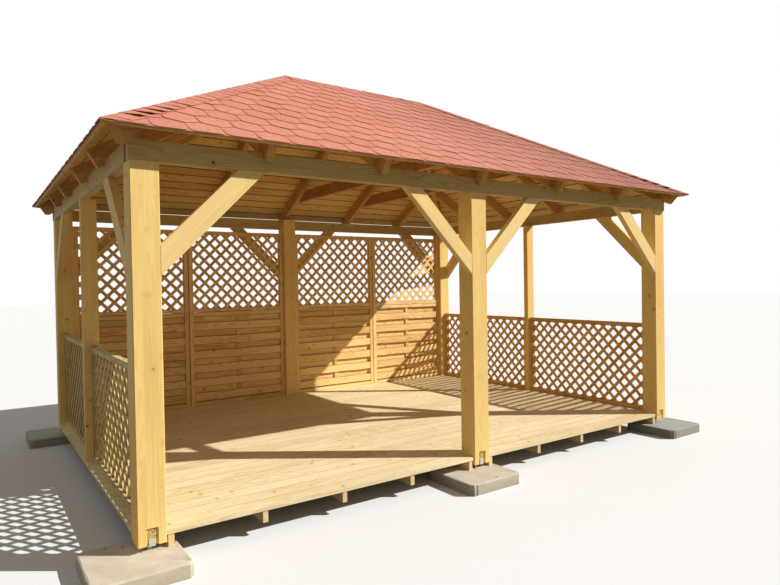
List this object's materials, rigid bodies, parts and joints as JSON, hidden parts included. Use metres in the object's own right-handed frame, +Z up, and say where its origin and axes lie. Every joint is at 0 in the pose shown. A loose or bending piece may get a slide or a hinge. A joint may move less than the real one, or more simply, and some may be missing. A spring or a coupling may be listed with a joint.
{
  "type": "wooden garden pergola",
  "caption": "Open timber garden shelter: posts on concrete pads, boarded floor, hipped shingle roof, slatted back wall and lattice sides.",
  "frame": {"origin": "on the ground, under the middle of the bounding box, which is the middle of the floor plan", "axes": "+X along the open front towards its right end, +Y from the open front to the back wall, +Z up"},
  "size_m": [5.43, 3.9, 3.3762],
  "materials": {
    "post_wood": "satin",
    "plate_wood": "satin",
    "brace_wood": "satin",
    "deck_wood": "satin",
    "joist_wood": "matte",
    "rafter_wood": "matte",
    "roof_board_wood": "matte",
    "panel_wood": "satin",
    "shingle_felt": "matte",
    "concrete": "matte",
    "zinc_steel": "satin"
  },
  "bodies": {
    "root": {"concrete_pads": "concrete", "post_shoes": "zinc_steel", "side_posts": "post_wood", "floor_joists": "joist_wood", "floor_boards": "deck_wood", "braces_front": "brace_wood", "braces_back": "brace_wood", "braces_sides": "brace_wood", "hip_rafters": "rafter_wood", "ridge_board": "rafter_wood", "collar_ties": "rafter_wood", "hip_caps": "shingle_felt", "ridge_cap": "shingle_felt", "post_front_left": "post_wood", "post_front_middle": "post_wood", "post_front_right": "post_wood", "plate_front_left": "plate_wood", "plate_front_right": "plate_wood", "post_back_left": "post_wood", "post_back_middle": "post_wood", "post_back_right": "post_wood", "plate_back_left": "plate_wood", "plate_back_right": "plate_wood", "plate_left": "plate_wood", "trellis_left_front": "panel_wood", "trellis_left_back": "panel_wood", "plate_right": "plate_wood", "trellis_right_front": "panel_wood", "trellis_right_back": "panel_wood", "rafters_front": "rafter_wood", "roof_boards_front": "roof_board_wood", "shingles_front": "shingle_felt", "rafters_back": "rafter_wood", "roof_boards_back": "roof_board_wood", "shingles_back": "shingle_felt", "rafters_left": "rafter_wood", "roof_boards_left": "roof_board_wood", "shingles_left": "shingle_felt", "rafters_right": "rafter_wood", "roof_boards_right": "roof_board_wood", "shingles_right": "shingle_felt", "wall_panel_1": "panel_wood", "wall_panel_2": "panel_wood", "wall_panel_3": "panel_wood", "wall_panel_4": "panel_wood"}
  },
  "joints": []
}
